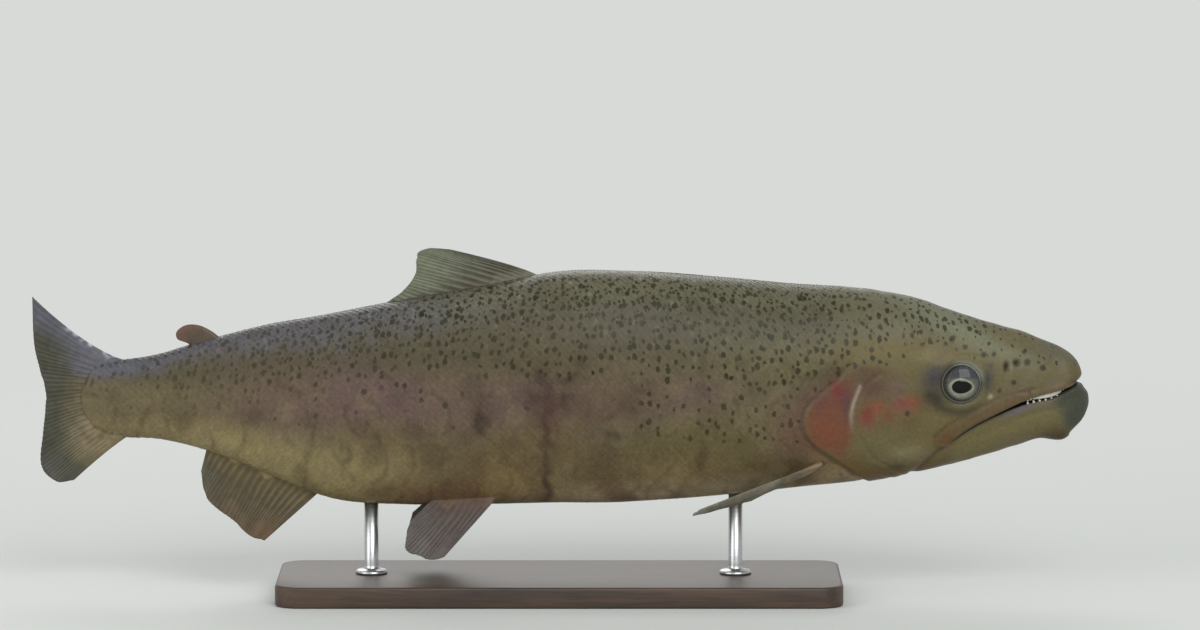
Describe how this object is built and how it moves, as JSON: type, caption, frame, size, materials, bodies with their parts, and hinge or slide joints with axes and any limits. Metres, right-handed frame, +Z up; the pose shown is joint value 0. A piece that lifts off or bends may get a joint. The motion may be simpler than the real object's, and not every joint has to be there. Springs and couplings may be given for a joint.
{
  "type": "rainbow trout display model",
  "caption": "Life-size museum-type model of a large male rainbow trout with a hooked jaw, held level on a flat base by two short rods.",
  "frame": {"origin": "middle of the display stand's underside, below the fish's mid-length", "axes": "+X towards the fish's head, +Y to its left, +Z up"},
  "size_m": [0.5999, 0.112, 0.1981],
  "materials": {
    "skin": "satin, smooth and slightly wet, olive with dark spots and a dull pink band",
    "scales": "satin, fine overlapping scales in the skin's colours",
    "fins": "satin, thin rayed membranes",
    "eyes": "gloss, olive-grey iris with a pale ring round a black pupil",
    "teeth": "satin, ivory",
    "stand_wood": "satin, dark-stained hardwood",
    "stand_steel": "satin, brushed along the rod"
  },
  "bodies": {
    "root": {"head": "skin", "lower_jaw": "skin", "upper_jaw_plate_left": "skin", "upper_jaw_plate_right": "skin", "gill_cover_left": "skin", "gill_cover_right": "skin", "eye_left": "eyes", "eye_right": "eyes", "trunk": "skin", "tail": "skin", "dorsal_fin": "fins", "adipose_fin": "fins", "tail_fin": "fins", "anal_fin": "fins", "pelvic_fin_left": "fins", "pelvic_fin_right": "fins", "pectoral_fin_left": "fins", "pectoral_fin_right": "fins", "stand_base": "stand_wood", "stand_rod_front": "stand_steel", "stand_rod_rear": "stand_steel"}
  },
  "joints": []
}
